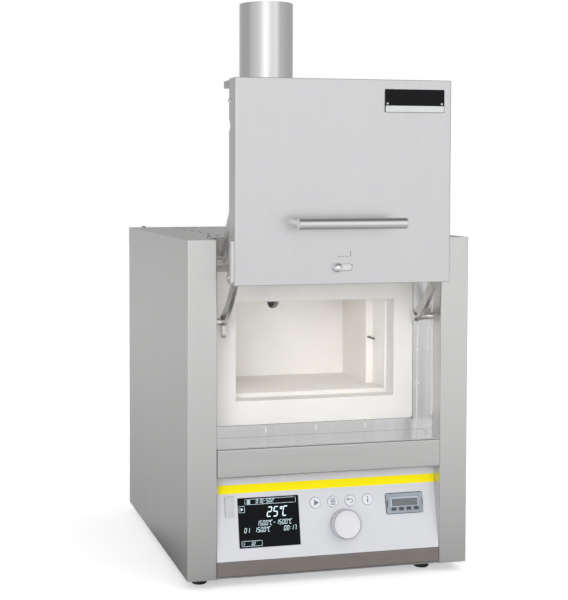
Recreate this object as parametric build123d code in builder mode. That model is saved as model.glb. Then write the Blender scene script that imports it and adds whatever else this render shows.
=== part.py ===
"""A front-loading ashing furnace with a lift door, piece by piece. Millimetres, +Z up."""
import os
from math import acos, asin, atan2, cos, degrees, sin, sqrt

from build123d import *

os.makedirs("parts", exist_ok=True)

# Body. X runs right and Y runs back. Depths are counted from the plane of the two front posts.
body_width = 385
body_depth = 420
body_top = 450
foot_height = 12
foot_radius = 10.4
sheet = 1.5
bend = 2.2
post_width = 39.3
post_return = 23.4
recess_depth = 64
shelf_top = 182
sill_bottom = 143
trim_top = 34
gap = 0.1

# Door, in the open place that is the rest pose
door_width = 287.3
door_height = 258.3
door_face = -49.4
door_bottom = 395
door_flange = 28.4
tray_half = 131
tray_depth = 24
plate_lift = 2
handle_length = 142
handle_radius = 7
handle_standoff = 30
post_radius = 4.5
handle_height = 472.5
air_slot_height = 416.2
air_slot_left = -10.3
air_slot_radius = 3.85
air_travel = 17
knob_radius = 6
knob_height = 9

# Two arms on each side carry the door. Each has one pivot on the casing and one on the door.
arm_middle = 135.4
arm_thickness = 5
arm_width = 14
lower_arm_bow = 9
upper_arm_bow = -4
pivot_depth = 41.2
lower_pivot = 341
upper_pivot = 423.1
door_pivot_setback = 9.4
door_drop = 210.3
pivot_radius = 4
running_fit = 0.05
open_fit = 0.5
tail_length = 17
lower_shaft_radius = 5.2
upper_shaft_radius = 7.5

# Chamber of fibre insulation, with a heating plate on each side
collar_front = 63
collar_half = 140
collar_bottom = 198
collar_top = 405
collar_back = 92
mouth_half = 112
mouth_bottom = 230.5
mouth_top = 363.5
chamber_half = 110
chamber_bottom = 228
chamber_top = 366
chamber_back = 237
insulation_half = 150
insulation_top = 410
rear_block_back = 300
hearth_top = 236
plate_thickness = 10
plate_front = 139
plate_pin_height = 302
thermocouples_x = (78, 90)
thermocouple_height = 351

# Exhaust
tube_x = -9
tube_depth = 277
tube_radius = 40
tube_wall = 1
tube_top = 787
flange_radius = 54
spigot_height = 30
flue_hole_height = 344
flue_hole_radius = 8.7
riser_radius = 20

# Control panel, a slope between the trim and the sill. Its features lie at (across, up the slope).
panel_half = 153.1
panel_bottom_depth = 0.5
panel_top_depth = 19.4
panel_top = 128
panel_thickness = 2
stripe_bottom = 86.8
stripe_height = 8.4
display_size = (83, 64)
display_place = (-81.2, 47.8)
button_radius = 7
button_height = 68.3
button_places = {"button_start": -16.9, "button_menu": 7.5, "button_back": 31.7, "button_info": 56.1}
dial_place = (21.7, 38.5)
dial_radius = 20.5
dial_height = 12.6
stem_radius = 3
limiter_size = (52, 26.5)
limiter_place = (108, 60.8)
limiter_button_pitch = 10.6
limiter_button_height = 53.5
flap_size = (12.3, 26.5)
flap_place = (-133.8, 69.3)

# Screws: heads and the share of a head's radius that its shank has
shank_share = 0.45
door_screw = 3.4
plate_screw = 1.6
rear_screw = 3.2
cover_screw = 4.2

door_top = door_bottom + door_height
post_inner = body_width / 2 - post_width
front = -(body_depth + door_face - handle_standoff - handle_radius) / 2

# The linkage. Shut, the door's face lies in the plane of the posts.
door_pivot_depth = door_face + door_pivot_setback
open_reach = pivot_depth - door_pivot_depth
shut_reach = pivot_depth - door_pivot_setback


def arm_drop(length):
    """how far the door falls from open to shut on arms of this length"""
    return sqrt(length ** 2 - open_reach ** 2) + sqrt(length ** 2 - shut_reach ** 2)


arm_length = open_reach + 1
while arm_drop(arm_length) < door_drop:
    arm_length += 0.01
open_angle = acos(open_reach / arm_length)
shut_angle = acos(shut_reach / arm_length)
arm_rise = arm_length * sin(open_angle)
print(f"front plane at y {front:.2f}, arm {arm_length:.2f} long")
print(f"arm open {degrees(open_angle):.2f} deg up, shut {degrees(shut_angle):.2f} deg down")
print(f"swing {degrees(open_angle + shut_angle):.3f} deg, door pivots {arm_rise:.2f} above the casing's")

panel_slope = sqrt((panel_top_depth - panel_bottom_depth) ** 2 + (panel_top - trim_top) ** 2)
panel_tilt = atan2(panel_top_depth - panel_bottom_depth, panel_top - trim_top)
panel_normal = (0, -cos(panel_tilt), sin(panel_tilt))
panel_plane = Plane(origin=(0, front + panel_bottom_depth, trim_top), x_dir=(1, 0, 0), z_dir=panel_normal)
panel_axis = Axis(panel_plane.origin, panel_plane.z_dir)
print(f"panel normal y {panel_normal[1]:.5f} z {panel_normal[2]:.5f}")


def block(x, y, z, mode=Mode.ADD):
    """a box between (low, high) pairs, with y counted from the front plane"""
    with Locations(((x[0] + x[1]) / 2, front + (y[0] + y[1]) / 2, (z[0] + z[1]) / 2)):
        Box(x[1] - x[0], y[1] - y[0], z[1] - z[0], mode=mode)


def both_sides(x, y, z, mode=Mode.ADD):
    """a box and its mirror image across the middle plane"""
    block(x, y, z, mode)
    block((-x[1], -x[0]), y, z, mode)


def point(x, depth, z):
    """a point whose depth is counted from the front plane"""
    return Vector(x, front + depth, z)


def rod(start, end, radius, mode=Mode.ADD):
    """a round rod from one point to another"""
    with BuildSketch(Plane(origin=start, z_dir=end - start)) as section:
        Circle(radius)
    extrude(section.sketch, amount=(end - start).length, mode=mode)


def turned(place, axis, outline):
    """a round piece about an axis, from (radius, height) corners"""
    seat = Plane(origin=place, z_dir=axis)
    with BuildSketch(Plane(origin=place, x_dir=seat.x_dir, z_dir=-seat.y_dir)) as profile:
        with BuildLine():
            Polyline(*outline, close=True)
        make_face()
    revolve(profile.sketch, axis=Axis(seat.origin, seat.z_dir))


def dome_line(radius, base, height):
    """the outline of a shallow dome, from its rim in to the axis"""
    sphere = (radius ** 2 + height ** 2) / (2 * height)
    half = asin(radius / sphere) / 2
    middle = (sphere * sin(half), base + height - sphere * (1 - cos(half)))
    ThreePointArc((radius, base), middle, (0, base + height))


def dome_screw(place, axis, radius, height, shank):
    """a round-headed socket screw, its head standing on a face"""
    seat = Plane(origin=place, z_dir=axis)
    shank_radius = shank_share * radius
    with BuildSketch(Plane(origin=place, x_dir=seat.x_dir, z_dir=-seat.y_dir)) as profile:
        with BuildLine():
            Polyline((0, height), (0, -shank), (shank_radius, -shank), (shank_radius, 0), (radius, 0))
            dome_line(radius, 0, height)
        make_face()
    revolve(profile.sketch, axis=Axis(seat.origin, seat.z_dir))
    with BuildSketch(seat.offset(height)) as socket:
        RegularPolygon(radius * 0.4, 6)
    extrude(socket.sketch, amount=-height * 0.5, mode=Mode.SUBTRACT)


def drilled(place, axis, radius, depth):
    """a clearance hole for the shank of a screw whose head has this radius"""
    rod(place + Vector(*axis), place - Vector(*axis) * depth, shank_share * radius + gap, Mode.SUBTRACT)


def folded(corners, plane, length, side=Side.RIGHT, thickness=sheet):
    """a folded sheet: its outer line on a plane, given thickness to one side and drawn out"""
    with BuildSketch(plane) as section:
        with BuildLine():
            FilletPolyline(*corners, radius=bend)
            offset(amount=thickness, side=side)
        make_face()
    extrude(section.sketch, amount=length)


def on_panel(place, lift=0):
    """a plane on the control panel's slope, facing out, at (across, up the slope)"""
    spot = panel_plane.from_local_coords(Vector(place[0], place[1], lift))
    return Plane(origin=spot, x_dir=(1, 0, 0), z_dir=panel_normal)


def save(piece, name):
    """label a finished piece and write it"""
    piece.label = name
    export_step(piece, f"parts/{name}.step")


# Casing

# Each side panel wraps round the front post and turns back into the recess.
with BuildPart() as side_panel_left:
    folded([(-post_inner, front + post_return), (-post_inner, front), (-body_width / 2, front),
            (-body_width / 2, front + body_depth), (-body_width / 2 + 14, front + body_depth)],
           Plane.XY.offset(foot_height), body_top - foot_height)
save(side_panel_left.part, "side_panel_left")

with BuildPart() as side_panel_right:
    add(side_panel_left.part.mirror(Plane.YZ))
save(side_panel_right.part, "side_panel_right")

skin = body_width / 2 - sheet - gap
wing_inner = post_inner + sheet + gap
rear_face = body_depth - sheet - gap
vent_columns = [-122 + 244 / 9 * step for step in range(10)]
vent_rows = [127 + 52 * step for step in range(6)]

rear_screw_places = [point(x, rear_face, z) for x in (-170, 170) for z in (40, 150, 300, 430)]
cover_screw_places = [point(x, depth, body_top)
                      for x, depth in ((-146, 76), (146, 76), (-172, 402), (172, 402))]

with BuildPart() as top_cover:
    block((-skin, skin), (recess_depth + gap, rear_face), (body_top - sheet, body_top))
    both_sides((wing_inner, skin), (sheet + gap, recess_depth + 1), (body_top - sheet, body_top))
    corners = top_cover.edges().filter_by(Axis.Z).group_by(Axis.Y)
    fillet(corners[0] + corners[-1], sheet)
    for place in cover_screw_places:
        drilled(place, (0, 0, 1), cover_screw, 2 * sheet)
    with BuildSketch(Plane.XY.offset(body_top)):
        with Locations(*[(x, front + vent_rows[-1]) for x in vent_columns],
                       *[(x, front + y) for x in vent_columns[::9] for y in vent_rows[:-1]]):
            SlotOverall(24, 4.5, rotation=90)
        with Locations((tube_x, front + tube_depth)):
            Circle(tube_radius + 0.3)
    extrude(amount=-sheet, mode=Mode.SUBTRACT)
save(top_cover.part, "top_cover")

inlet_x = 118
inlet_z = 62
inlet_width = 50
inlet_height = 72
rocker_bay = 14.2

with BuildPart() as rear_panel:
    block((-skin + 1, skin - 1), (rear_face - sheet, rear_face),
          (foot_height + sheet + gap, body_top - sheet - gap))
    for place in rear_screw_places:
        drilled(place, (0, 1, 0), rear_screw, 2 * sheet)
    with BuildSketch(Plane(origin=(0, front + rear_face, 0), x_dir=(1, 0, 0), z_dir=(0, -1, 0))):
        with Locations((0, 395), (0, 365), (0, 335)):
            with GridLocations(24, 1, 12, 1):
                SlotOverall(20, 4.5, rotation=90)
        with Locations((-60, 60)):
            with GridLocations(16, 1, 10, 1):
                SlotOverall(34, 4.5, rotation=90)
        with Locations((inlet_x, inlet_z)):
            Rectangle(inlet_width - 8, inlet_height - 8)
    extrude(amount=sheet, both=True, mode=Mode.SUBTRACT)
save(rear_panel.part, "rear_panel")

with BuildPart() as base_tray:
    tray_depths = (post_return + gap, rear_face - sheet - gap)
    block((-skin, skin), tray_depths, (foot_height, foot_height + sheet))
    block((-panel_half, panel_half), (bend + gap, post_return + 1), (foot_height, foot_height + sheet))
    both_sides((skin - sheet, skin), tray_depths, (foot_height, foot_height + 16))
    with BuildSketch(Plane.XY.offset(foot_height)):
        with Locations((0, front + 250)):
            with GridLocations(20, 60, 10, 3):
                SlotOverall(40, 5, rotation=90)
    extrude(amount=sheet, mode=Mode.SUBTRACT)
save(base_tray.part, "base_tray")

foot_places = [(-170, 32), (141, 32), (-170, 388), (141, 388)]
with BuildPart() as feet:
    for x, depth in foot_places:
        turned(point(x, depth, 0), (0, 0, 1),
               [(0, 0), (foot_radius - 1.5, 0), (foot_radius, 1.5), (foot_radius - 0.8, foot_height),
                (0, foot_height)])
save(feet.part, "feet")

with BuildPart() as front_trim:
    folded([(front + 14, foot_height + sheet + gap), (front + 0.9, foot_height + sheet + gap),
            (front + 0.9, trim_top - gap), (front + 12, trim_top - gap)],
           Plane.YZ.offset(-panel_half), 2 * panel_half)
save(front_trim.part, "front_trim")

with BuildPart() as sill_panel:
    folded([(front + 18, sill_bottom), (front, sill_bottom), (front, shelf_top - sheet - gap),
            (front + 14, shelf_top - sheet - gap)],
           Plane.YZ.offset(-panel_half), 2 * panel_half)
save(sill_panel.part, "sill_panel")

# The recess behind the door: polished walls and a floor that runs back under the chamber
with BuildPart() as lining_left:
    folded([(-post_inner - 12, front + post_return + gap), (-post_inner, front + post_return + gap),
            (-post_inner, front + recess_depth - sheet - gap)],
           Plane.XY.offset(shelf_top + gap), body_top - sheet - gap - shelf_top - gap, Side.LEFT)
    for height in (lower_pivot, upper_pivot):
        rod(point(-post_inner - 3, pivot_depth, height), point(-post_inner + 1, pivot_depth, height),
            3 + running_fit, Mode.SUBTRACT)
save(lining_left.part, "lining_left")

with BuildPart() as lining_right:
    add(lining_left.part.mirror(Plane.YZ))
save(lining_right.part, "lining_right")

with BuildPart() as lining_shelf:
    block((-panel_half, panel_half), (0.2, 412), (shelf_top - sheet, shelf_top))
save(lining_shelf.part, "lining_shelf")

with BuildPart() as fascia_frame:
    block((-post_inner - sheet, post_inner + sheet), (recess_depth - sheet, recess_depth),
          (shelf_top + gap, body_top - sheet - gap))
    block((-collar_half - gap, collar_half + gap), (recess_depth - 2 * sheet, recess_depth + 1),
          (collar_bottom - gap, collar_top + gap), Mode.SUBTRACT)
    for height in (245, 293, 341):
        both_sides((collar_half + 3, post_inner - 1.5), (recess_depth - 2, recess_depth + 1),
                   (height - 0.9, height + 0.9), Mode.SUBTRACT)
    for x in (-70.5, 0.5, 71):
        block((x - 0.9, x + 0.9), (recess_depth - 2, recess_depth + 1),
              (shelf_top + 4, collar_bottom - 3), Mode.SUBTRACT)
save(fascia_frame.part, "fascia_frame")

# Chamber

with BuildPart() as insulation_collar:
    block((-collar_half, collar_half), (collar_front, collar_back), (collar_bottom, collar_top))
    fillet(insulation_collar.edges().filter_by(Axis.Y), 3)
    block((-mouth_half, mouth_half), (collar_front, collar_back), (mouth_bottom, mouth_top), Mode.SUBTRACT)
    chamfer(insulation_collar.faces().sort_by(Axis.Y)[0].edges(), 0.8)
save(insulation_collar.part, "insulation_collar")

with BuildPart() as insulation_base:
    block((-insulation_half, insulation_half), (collar_back, chamber_back), (shelf_top, chamber_bottom))
save(insulation_base.part, "insulation_base")

with BuildPart() as insulation_roof:
    block((-insulation_half, insulation_half), (collar_back, chamber_back), (chamber_top, insulation_top))
save(insulation_roof.part, "insulation_roof")

with BuildPart() as insulation_sides:
    both_sides((chamber_half, insulation_half), (collar_back, chamber_back), (chamber_bottom, chamber_top))
save(insulation_sides.part, "insulation_sides")

# The rear block holds the flue: a hole from the chamber that meets an upright bore under the tube.
with BuildPart() as insulation_rear:
    block((-insulation_half, insulation_half), (chamber_back, rear_block_back), (shelf_top, insulation_top))
    rod(point(tube_x, chamber_back, flue_hole_height), point(tube_x, tube_depth, flue_hole_height),
        flue_hole_radius, Mode.SUBTRACT)
    rod(point(tube_x, tube_depth, flue_hole_height - 12), point(tube_x, tube_depth, insulation_top),
        riser_radius, Mode.SUBTRACT)
    for x in thermocouples_x:
        rod(point(x, chamber_back, thermocouple_height), point(x, rear_block_back, thermocouple_height),
            2.1, Mode.SUBTRACT)
save(insulation_rear.part, "insulation_rear")

with BuildPart() as hearth_plate:
    block((-chamber_half + 0.5, chamber_half - 0.5), (collar_back + 0.3, chamber_back - 0.3),
          (chamber_bottom, hearth_top))
    chamfer(hearth_plate.faces().sort_by(Axis.Z)[-1].edges(), 1)
save(hearth_plate.part, "hearth_plate")

plate_face = chamber_half - plate_thickness
pin_x = plate_face + 3.5
with BuildPart() as heating_plates:
    both_sides((plate_face, chamber_half), (plate_front, chamber_back - 0.3), (hearth_top, chamber_top))
    for side in (-1, 1):
        rod(point(side * pin_x, plate_front, plate_pin_height),
            point(side * pin_x, plate_front + 13, plate_pin_height), 1.5, Mode.SUBTRACT)
save(heating_plates.part, "heating_plates")

with BuildPart() as plate_pins:
    for side in (-1, 1):
        rod(point(side * pin_x, plate_front - 22, plate_pin_height),
            point(side * pin_x, plate_front + 13, plate_pin_height), 1.5)
save(plate_pins.part, "plate_pins")

with BuildPart() as thermocouples:
    for x in thermocouples_x:
        turned(point(x, chamber_back - 15, thermocouple_height), (0, 1, 0),
               [(0, 0), (1.5, 0), (2, 1), (2, 90), (5, 90), (5, 112), (0, 112)])
save(thermocouples.part, "thermocouples")

# Exhaust

# The tube slips over a spigot, whose flange lies on the cover.
with BuildPart() as exhaust_tube:
    with BuildSketch(Plane.XY.offset(body_top + sheet)):
        with Locations((tube_x, front + tube_depth)):
            Circle(tube_radius)
            Circle(tube_radius - tube_wall, mode=Mode.SUBTRACT)
    extrude(amount=tube_top - body_top - sheet)
save(exhaust_tube.part, "exhaust_tube")

with BuildPart() as tube_collar:
    outer = tube_radius - tube_wall - running_fit
    inner = outer - tube_wall
    turned(point(tube_x, tube_depth, body_top), (0, 0, 1),
           [(inner, insulation_top - body_top), (outer, insulation_top - body_top), (outer, 0),
            (flange_radius, 0), (flange_radius, sheet), (outer, sheet), (outer, spigot_height),
            (inner, spigot_height)])
save(tube_collar.part, "tube_collar")

# Control panel

with BuildPart() as control_panel:
    with BuildSketch(panel_plane):
        with Locations((0, 0.5)):
            Rectangle(2 * panel_half, panel_slope - 0.5, align=(Align.CENTER, Align.MIN))
    extrude(amount=-panel_thickness)
    block((-panel_half, panel_half), (panel_top_depth, panel_top_depth + panel_thickness),
          (panel_top - 0.4, sill_bottom - gap))
    block((-panel_half, panel_half), (panel_bottom_depth + 0.6, 12), (trim_top, trim_top + sheet))
    with BuildSketch(panel_plane):
        with Locations(display_place):
            RectangleRounded(display_size[0], display_size[1], 1)
        with Locations(*[(x, button_height) for x in button_places.values()]):
            Circle(button_radius + 0.08)
        with Locations(dial_place):
            Circle(stem_radius + running_fit)
        with Locations(limiter_place):
            Rectangle(limiter_size[0] - 4, limiter_size[1] - 4)
        with Locations(flap_place):
            Rectangle(9.5, 20)
    extrude(amount=-3 * panel_thickness, mode=Mode.SUBTRACT)
save(control_panel.part, "control_panel")

with BuildPart() as panel_stripe:
    with BuildSketch(panel_plane):
        with Locations((0, stripe_bottom)):
            Rectangle(2 * panel_half - 0.4, stripe_height, align=(Align.CENTER, Align.MIN))
    extrude(amount=0.3)
save(panel_stripe.part, "panel_stripe")

with BuildPart() as display_unit:
    with BuildSketch(on_panel(display_place, 0.4)):
        RectangleRounded(display_size[0] - 0.2, display_size[1] - 0.2, 1)
    extrude(amount=-3)
    with BuildSketch(on_panel(display_place, -2.4)):
        Rectangle(display_size[0] + 6, display_size[1] - 2)
    extrude(amount=-10)
save(display_unit.part, "display_unit")

for name, x in button_places.items():
    with BuildPart() as button:
        with BuildSketch(on_panel((x, button_height), 1.2)):
            Circle(button_radius)
        extrude(amount=-3.6)
        fillet(button.edges().filter_by(GeomType.CIRCLE).sort_by(panel_axis)[-1], 0.7)
        with BuildSketch(on_panel((x, button_height), -panel_thickness - 0.2)):
            Circle(button_radius + 1)
        extrude(amount=-1.2)
    save(button.part, name)

with BuildPart() as dial_stem:
    turned(on_panel(dial_place, -14).origin, panel_normal,
           [(0, 0), (6.5, 0), (6.5, 10.4), (stem_radius, 10.4), (stem_radius, 25), (0, 25)])
save(dial_stem.part, "dial_stem")

with BuildPart() as dial:
    seat = on_panel(dial_place, 1.6)
    with BuildSketch(Plane(origin=seat.origin, x_dir=(1, 0, 0), z_dir=-seat.y_dir)):
        with BuildLine():
            Polyline((stem_radius + running_fit, 0), (dial_radius - 1.2, 0), (dial_radius, 1.2),
                     (dial_radius - 0.8, dial_height), (0, dial_height), (0, 9.6),
                     (stem_radius + running_fit, 9.6), close=True)
        make_face()
    revolve(axis=Axis(seat.origin, seat.z_dir))
    fillet(dial.edges().filter_by(GeomType.CIRCLE).sort_by(panel_axis)[-1], 2.6)
save(dial.part, "dial")

limiter_buttons = {f"limiter_button_{step + 1}": (limiter_place[0] + (step - 1.5) * limiter_button_pitch,
                                                  limiter_button_height) for step in range(4)}
with BuildPart() as limiter:
    with BuildSketch(on_panel(limiter_place)):
        RectangleRounded(limiter_size[0], limiter_size[1], 1.2)
    extrude(amount=2.4)
    chamfer(limiter.faces().sort_by(panel_axis)[-1].edges(), 0.6)
    with BuildSketch(on_panel(limiter_place)):
        Rectangle(limiter_size[0] - 4.2, limiter_size[1] - 4.2)
    extrude(amount=-26)
    with BuildSketch(on_panel((limiter_place[0], 62.6), 2.4)):
        RectangleRounded(41, 13.6, 1)
    extrude(amount=-1, mode=Mode.SUBTRACT)
    for place in limiter_buttons.values():
        with BuildSketch(on_panel(place, 2.4)):
            RectangleRounded(6.8, 4.2, 1)
        extrude(amount=-3.4, mode=Mode.SUBTRACT)
save(limiter.part, "limit_controller")

for name, place in limiter_buttons.items():
    with BuildPart() as limiter_button:
        with BuildSketch(on_panel(place, 3)):
            RectangleRounded(6.6, 4, 0.9)
        extrude(amount=-3.2)
    save(limiter_button.part, name)

# The socket's cover turns on its rounded left edge.
flap_thickness = 1.5
flap_width, flap_height = flap_size
flap_pivot_x = flap_place[0] - (flap_width - flap_thickness) / 2
with BuildPart() as usb_cover:
    with BuildSketch(on_panel((flap_pivot_x, flap_place[1]), gap)):
        Rectangle(flap_width - flap_thickness / 2, flap_height, align=(Align.MIN, Align.CENTER))
    extrude(amount=flap_thickness)
    fillet(usb_cover.edges().filter_by(panel_axis).sort_by(Axis.X)[-2:], 1)
    pin_ends = [on_panel((flap_pivot_x, height), gap + flap_thickness / 2).origin
                for height in (flap_place[1] - flap_height / 2, flap_place[1] + flap_height / 2)]
    rod(*pin_ends, flap_thickness / 2)
save(usb_cover.part, "usb_cover")

with BuildPart() as usb_socket:
    with BuildSketch(on_panel(flap_place, -1.8)):
        Rectangle(7.4, 15.6)
        Rectangle(4.9, 12.6, mode=Mode.SUBTRACT)
    extrude(amount=-14)
    with BuildSketch(on_panel(flap_place, -15.8)):
        Rectangle(7.4, 15.6)
    extrude(amount=-2)
save(usb_socket.part, "usb_socket")

# Electronics bay

with BuildPart() as control_board:
    block((-122, 46), (60, 170), (24, 25.6))
    for x in (-116, 40):
        for depth in (66, 164):
            rod(point(x, depth, foot_height + sheet), point(x, depth, 24), 3)
    block((-110, -66), (74, 112), (25.6, 58))
    block((-50, -28), (76, 96), (25.6, 42))
    block((-22, 0), (76, 96), (25.6, 42))
    for x in (-100, -80, -60):
        rod(point(x, 140, 25.6), point(x, 140, 46), 7)
    block((-40, 36), (150, 162), (25.6, 37))
    block((10, 36), (72, 120), (25.6, 33))
save(control_board.part, "control_board")

with BuildPart() as power_relay:
    block((-110, -30), (300, 304), (foot_height + sheet, 92))
    for step in range(9):
        block((-108 + 9.5 * step, -106.4 + 9.5 * step), (304, 326), (foot_height + sheet, 92))
    block((-92, -48), (276, 300), (30, 76))
save(power_relay.part, "power_relay")

# Mains inlet with three blades, and the housing of the rocker above it
with BuildPart() as mains_inlet:
    block((inlet_x - inlet_width / 2, inlet_x + inlet_width / 2), (rear_face, body_depth - 0.1),
          (inlet_z - inlet_height / 2, inlet_z + inlet_height / 2))
    block((inlet_x - 20.5, inlet_x + 20.5), (rear_face - 26, rear_face),
          (inlet_z - 31.5, inlet_z + 31.5))
    mouth = (rear_face - 20, body_depth + 1)
    block((inlet_x - 16, inlet_x + 16), mouth, (inlet_z - 28, inlet_z - 5), Mode.SUBTRACT)
    block((inlet_x - rocker_bay, inlet_x + rocker_bay), mouth, (inlet_z + 4, inlet_z + 30), Mode.SUBTRACT)
    for x, z in ((inlet_x - 8.5, inlet_z - 20), (inlet_x, inlet_z - 13), (inlet_x + 8.5, inlet_z - 20)):
        block((x - 1, x + 1), (rear_face - 21, rear_face - 3), (z - 4, z + 4))
save(mains_inlet.part, "mains_inlet")

# The rocker turns about a level line across it, and rests tilted.
rocker_z = inlet_z + 17
rocker_depth = rear_face - 8
rocker_tilt = -6
rocker_half = rocker_bay - 0.4
with BuildPart() as mains_switch:
    with BuildSketch(Plane.YZ.offset(inlet_x - rocker_half)):
        with Locations((front + rocker_depth, rocker_z)):
            Polygon((-4, -9), (6.8, -10.4), (8.4, 0), (6.8, 10.4), (-4, 9), rotation=rocker_tilt,
                    align=None)
    extrude(amount=2 * rocker_half)
    rod(point(inlet_x - rocker_bay + gap, rocker_depth, rocker_z),
        point(inlet_x + rocker_bay - gap, rocker_depth, rocker_z), 2)
save(mains_switch.part, "mains_switch")

# Door

# Its bottom flange stops short of the arms. Two screws a side hold its fittings.
low_screw_places = [point(x, door_face + 23.4, door_bottom + 9.6)
                    for x in (-door_width / 2 - plate_lift, door_width / 2 + plate_lift)]
high_screw_places = [point(x, door_face + 23.8, door_top - 28) for x in (-door_width / 2, door_width / 2)]
bottom_flange_half = tray_half + 0.9

with BuildPart() as door_panel:
    flange_back = front + door_face + door_flange
    folded([(-door_width / 2, flange_back), (-door_width / 2, front + door_face),
            (door_width / 2, front + door_face), (door_width / 2, flange_back)],
           Plane.XY.offset(door_bottom), door_height, Side.LEFT)
    inside = door_width / 2 - sheet
    block((-inside, inside), (door_face + sheet / 2, door_face + door_flange), (door_top - sheet, door_top))
    block((-bottom_flange_half, bottom_flange_half), (door_face + sheet / 2, door_face + door_flange),
          (door_bottom, door_bottom + sheet))
    for place in low_screw_places + high_screw_places:
        drilled(place, (place.X / abs(place.X), 0, 0), door_screw, door_screw + sheet)
    with BuildSketch(Plane(origin=point(0, door_face, 0), x_dir=(1, 0, 0), z_dir=(0, -1, 0))):
        with Locations((air_slot_left + air_travel / 2, air_slot_height)):
            SlotCenterToCenter(air_travel, 2 * air_slot_radius)
    extrude(amount=-3, mode=Mode.SUBTRACT)
    for side in (-1, 1):
        notch = point(side * inside, door_face + door_flange + 0.5, door_top - 59)
        rod(notch - Vector(side, 0, 0), notch + Vector(3 * side, 0, 0), 6.2, Mode.SUBTRACT)
    fillet(door_panel.edges().filter_by(Axis.X).group_by(Axis.Y)[0], 1)
save(door_panel.part, "door_panel")

tray_back = door_face + tray_depth
with BuildPart() as door_tray:
    block((-tray_half, tray_half), (door_face + sheet, tray_back), (door_bottom + 5, door_top - 12))
    block((-tray_half + sheet, tray_half - sheet), (door_face + sheet, tray_back - sheet),
          (door_bottom + 5 + sheet, door_top - 12 - sheet), Mode.SUBTRACT)
    rod(point(air_slot_left, tray_back - 3, air_slot_height),
        point(air_slot_left, tray_back + 1, air_slot_height), 6, Mode.SUBTRACT)
save(door_tray.part, "door_tray")

# The door's block of insulation, with a slanted duct for fresh air. Shut, it stands just off the collar.
block_back = door_face + collar_front - 1
with BuildPart() as door_insulation:
    block((-128, 128), (tray_back, block_back), (door_bottom + 9, door_bottom + 205.3))
    chamfer(door_insulation.faces().sort_by(Axis.Y)[-1].edges(), 2)
    rod(point(air_slot_left, tray_back - 2, air_slot_height),
        point(air_slot_left, block_back + 2, air_slot_height + 31), 5, Mode.SUBTRACT)
save(door_insulation.part, "door_insulation")

rail_half = door_width / 2 - sheet - gap
with BuildPart() as door_top_rail:
    block((-rail_half, rail_half), (door_face + door_flange - 3, 12), (door_top - 10.6, door_top - sheet))
    block((-door_width / 2, door_width / 2), (door_face + door_flange - 1.5, 10.5),
          (door_top - 9.1, door_top - 2 * sheet), Mode.SUBTRACT)
save(door_top_rail.part, "door_top_rail")

with BuildPart() as handle_bar:
    bar_depth = door_face - handle_standoff
    turned(point(-handle_length / 2, bar_depth, handle_height), (1, 0, 0),
           [(0, 0), (handle_radius - 0.8, 0), (handle_radius, 0.8), (handle_radius, handle_length - 0.8),
            (handle_radius - 0.8, handle_length), (0, handle_length)])
    for side in (-1, 1):
        rod(point(side * (handle_length / 2 - 6), bar_depth + 3.6, handle_height),
            point(side * (handle_length / 2 - 6), bar_depth + handle_radius + 1, handle_height),
            post_radius, Mode.SUBTRACT)
save(handle_bar.part, "handle_bar")

with BuildPart() as handle_posts:
    for side in (-1, 1):
        rod(point(side * (handle_length / 2 - 6), bar_depth + 3.6, handle_height),
            point(side * (handle_length / 2 - 6), door_face, handle_height), post_radius)
save(handle_posts.part, "handle_posts")

# Hinge plates inside the flanges carry the door's pivot pins; bright plates stiffen the flanges outside.
arm_inner = arm_middle - arm_thickness / 2
arm_outer = arm_middle + arm_thickness / 2
plate_inner = arm_outer + 0.8
flange_inner = door_width / 2 - sheet
with BuildPart() as hinge_plates:
    both_sides((plate_inner, flange_inner), (door_face + 2.4, door_face + 26),
               (door_bottom + 3, door_bottom + 135))
    for side in (-1, 1):
        for height in (lower_pivot, upper_pivot):
            turned(point(side * (plate_inner + 0.5), door_pivot_depth, height + arm_rise), (-side, 0, 0),
                   [(0, 0), (pivot_radius, 0), (pivot_radius, arm_thickness + 1.5),
                    (6, arm_thickness + 1.5), (6, arm_thickness + 3), (0, arm_thickness + 3)])
save(hinge_plates.part, "hinge_plates")

with BuildPart() as flange_plates:
    both_sides((door_width / 2, door_width / 2 + plate_lift), (door_face + 8, door_face + door_flange),
               (door_bottom + 2, door_bottom + 57))
    fillet(flange_plates.edges().filter_by(Axis.X), 3)
    for place in low_screw_places:
        drilled(place, (place.X / abs(place.X), 0, 0), door_screw, plate_lift + 1)
    both_sides((door_width / 2 + 1, door_width / 2 + 3), (door_face + 20, door_face + 23),
               (door_bottom + 32, door_bottom + 42), Mode.SUBTRACT)
save(flange_plates.part, "flange_plates")

plate_left = 52.7
plate_right = 133.2
name_plate_bottom = 612
name_plate_top = 641.3
plate_screw_places = [point(x, door_face - 1.2, name_plate_bottom + 11.2)
                      for x in (plate_left + 3.4, plate_right - 3.4)]
with BuildPart() as name_plate:
    block((plate_left, plate_right), (door_face - 1.2, door_face), (name_plate_bottom, name_plate_top))
    fillet(name_plate.edges().filter_by(Axis.Y), 1)
    for place in plate_screw_places:
        drilled(place, (0, -1, 0), plate_screw, 1.1)
save(name_plate.part, "name_plate")

with BuildPart() as door_screws:
    for place in low_screw_places:
        dome_screw(place, (place.X / abs(place.X), 0, 0), door_screw, 2.2, plate_lift + sheet)
    for place in high_screw_places:
        dome_screw(place, (place.X / abs(place.X), 0, 0), door_screw, 2.2, sheet)
    for place in plate_screw_places:
        dome_screw(place, (0, -1, 0), plate_screw, 0.9, 1.1)
save(door_screws.part, "door_screws")

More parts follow.
